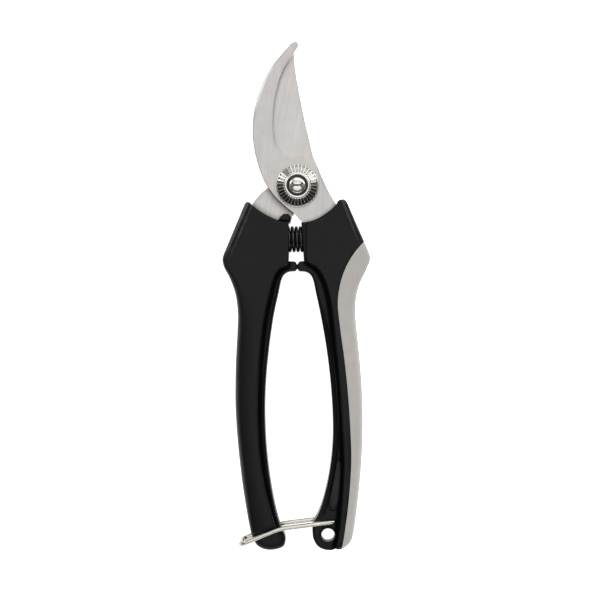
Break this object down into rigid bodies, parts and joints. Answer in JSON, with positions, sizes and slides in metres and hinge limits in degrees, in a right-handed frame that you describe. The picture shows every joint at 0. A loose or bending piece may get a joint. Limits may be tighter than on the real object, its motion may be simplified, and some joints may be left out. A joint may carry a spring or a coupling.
{
  "type": "pruning shears",
  "caption": "Bypass pruning shears with a curved hook blade, a cutting blade, a serrated pivot nut, soft handles, a coil spring and a wire bail lock.",
  "frame": {"origin": "on the pivot axis, in the plane of the handles' rear faces and the flat head of the pivot bolt", "axes": "+X towards the handle with the grey grip, +Y from the pivot towards the blade tips, +Z along the pivot axis from the rear to the front of the shears"},
  "size_m": [0.0575, 0.1987, 0.017],
  "materials": {
    "blade_steel": "ground and brushed stainless steel",
    "plated_steel": "bright nickel plating",
    "rivet_steel": "plain steel, hidden under the covers",
    "bronze": "sintered bronze",
    "dark_steel": "blackened spring steel",
    "hard_black": "moulded black nylon, satin",
    "soft_black": "soft black grip rubber, fine matt texture",
    "soft_grey": "soft warm grey grip rubber, fine matt texture",
    "spring_black": "black coated spring wire",
    "nickel_wire": "nickel plated wire"
  },
  "bodies": {
    "hook_half": {"counter_blade": "blade_steel", "right_core": "hard_black", "right_cover": "soft_black", "right_grip": "soft_grey", "right_rivet_upper": "rivet_steel", "right_rivet_lower": "rivet_steel", "pivot_bolt": "plated_steel", "rear_washer": "plated_steel", "pivot_bush": "bronze", "wave_washer": "dark_steel", "pivot_disc": "plated_steel", "lock_ring": "dark_steel", "return_spring": "spring_black"},
    "cutter_half": {"cutting_blade": "blade_steel", "left_core": "hard_black", "left_cover": "soft_black", "left_rivet_upper": "rivet_steel", "left_rivet_lower": "rivet_steel", "stop_bumper": "soft_black"},
    "bail": {"lock_bail": "nickel_wire"}
  },
  "joints": [
    {"name": "handles_open", "type": "hinge", "parent": "hook_half", "child": "cutter_half", "pos_m": [0, 0, 0.0085], "axis": [0, 0, -1], "range_deg": [0, 30], "deforming": ["return_spring"]},
    {"name": "bail_swing", "type": "hinge", "parent": "hook_half", "child": "bail", "pos_m": [0.0145, -0.1308, 0.0085], "axis": [0, 0, 1], "range_deg": [0, 78]}
  ],
  "couplings": [
    {"joint": "bail_swing", "follows": "handles_open", "ratio": 2.6}
  ]
}
